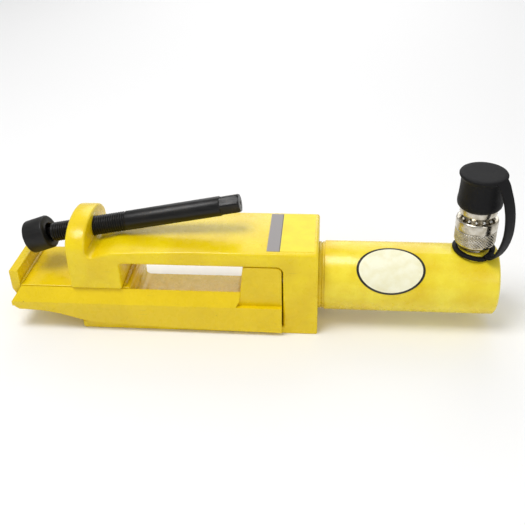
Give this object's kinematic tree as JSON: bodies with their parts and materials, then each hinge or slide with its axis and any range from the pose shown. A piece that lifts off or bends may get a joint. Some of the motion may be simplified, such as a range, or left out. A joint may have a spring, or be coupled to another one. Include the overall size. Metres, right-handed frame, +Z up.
{
  "type": "hydraulic tyre bead breaker",
  "caption": "Hydraulic bead breaker for large tyres: C-frame with hooked jaw, clamp screw and swivel pad, ram-driven push shoe, and a quick coupler with tethered dust cap.",
  "frame": {"origin": "middle of the tool's length and width, on the surface it stands on", "axes": "+X along the ram towards the hose end, so the push shoe leaves towards -X; +Y to the tool's far side; +Z up, out of the coupler"},
  "size_m": [0.3992, 0.076, 0.1322],
  "materials": {
    "frame_paint": "gloss",
    "shoe_paint": "gloss",
    "tube_paint": "gloss",
    "black_screw": "satin",
    "pad_black": "satin",
    "chrome_coupler": "polished",
    "rod_chrome": "polished",
    "steel": "machined",
    "spring_steel": "machined",
    "rubber_black": "matte",
    "seal_rubber": "matte",
    "weld_paint": "satin",
    "label_print": "satin",
    "decal_print": "gloss"
  },
  "bodies": {
    "frame": {"frame": "frame_paint", "jaw_plate": "frame_paint", "rim_lip": "frame_paint", "lip_weld": "weld_paint", "hook_weld": "weld_paint", "cylinder_tube": "tube_paint", "gland": "tube_paint", "rod_wiper": "seal_rubber", "rod_seal": "seal_rubber", "gland_o_ring": "seal_rubber", "end_plug": "tube_paint", "plug_o_ring": "seal_rubber", "port_boss": "tube_paint", "coupler_body": "chrome_coupler", "poppet_seat": "seal_rubber", "poppet_spring": "spring_steel", "return_spring": "spring_steel", "cap_tether": "rubber_black", "top_label": "label_print", "oval_decal": "decal_print"},
    "shoe": {"push_shoe": "shoe_paint", "drive_block": "shoe_paint", "drive_bolt": "steel", "piston_rod": "rod_chrome", "piston": "steel", "piston_seal": "seal_rubber", "piston_nut": "steel"},
    "screw_carrier": {"swivel_ball": "steel"},
    "screw": {"clamp_screw": "black_screw"},
    "pad": {"pressure_pad": "pad_black"},
    "collar": {"coupler_collar": "chrome_coupler"},
    "cap": {"dust_cap": "rubber_black"},
    "poppet": {"valve_poppet": "steel"}
  },
  "joints": [
    {"name": "ram_slide", "type": "slide", "parent": "frame", "child": "shoe", "axis": [-1, 0, 0], "range_m": [0, 0.072], "stiffness_N_per_m": 1500, "springref_m": -0.02, "deforming": ["return_spring"]},
    {"name": "clamp_feed", "type": "slide", "parent": "frame", "child": "screw_carrier", "axis": [0.9817, 0, 0.1905], "range_m": [-0.002, 0.017]},
    {"name": "screw_turn", "type": "hinge", "parent": "screw_carrier", "child": "screw", "pos_m": [-0.13341, 0, 0.0784], "axis": [0.9817, 0, 0.1905], "range_deg": [-360, 3060]},
    {"name": "pad_swivel", "type": "hinge", "parent": "screw_carrier", "child": "pad", "pos_m": [-0.17975, 0, 0.06941], "axis": [0, 1, 0], "range_deg": [0, 18]},
    {"name": "collar_turn", "type": "hinge", "parent": "frame", "child": "collar", "pos_m": [0.17439, 0, 0.0816], "axis": [0, 0, 1], "continuous": true},
    {"name": "cap_pull", "type": "slide", "parent": "frame", "child": "cap", "axis": [0, 0, 1], "range_m": [0, 0.024]},
    {"name": "valve_press", "type": "slide", "parent": "frame", "child": "poppet", "axis": [0, 0, -1], "range_m": [0, 0.003], "stiffness_N_per_m": 400, "springref_m": -0.003, "deforming": ["poppet_spring"]}
  ],
  "couplings": [
    {"joint": "clamp_feed", "follows": "screw_turn", "m_per_rad": 0.00031831}
  ]
}
